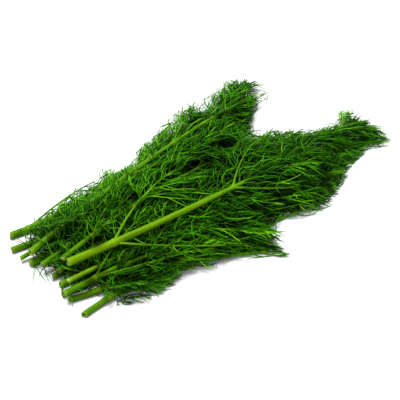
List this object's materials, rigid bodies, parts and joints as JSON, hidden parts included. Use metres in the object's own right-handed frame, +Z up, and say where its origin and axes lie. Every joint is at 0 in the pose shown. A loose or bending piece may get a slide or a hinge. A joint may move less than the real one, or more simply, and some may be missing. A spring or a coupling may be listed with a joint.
{
  "type": "dill bunch",
  "caption": "Loose bunch of fresh cut dill lying on its side: green leafy stems with thread-like feathery leaves, fanning out from their cut ends",
  "frame": {"origin": "bottom centre of the bunch's bounding box, on the surface that it lies on", "axes": "+X runs from the cut ends of the stems to the feathery tips, along the bunch's length; +Z points up, away from the surface"},
  "size_m": [0.3006, 0.191, 0.037],
  "materials": {
    "dill": "matte fresh green"
  },
  "bodies": {
    "root": {"leafy_stem_01": "dill", "leafy_stem_02": "dill", "leafy_stem_03": "dill", "leafy_stem_04": "dill", "leafy_stem_05": "dill", "leafy_stem_06": "dill", "leafy_stem_07": "dill", "leafy_stem_08": "dill", "leafy_stem_09": "dill", "leafy_stem_10": "dill", "leafy_stem_11": "dill", "leafy_stem_12": "dill", "leafy_stem_13": "dill", "leafy_stem_14": "dill", "leafy_stem_15": "dill", "leafy_stem_16": "dill"}
  },
  "joints": []
}
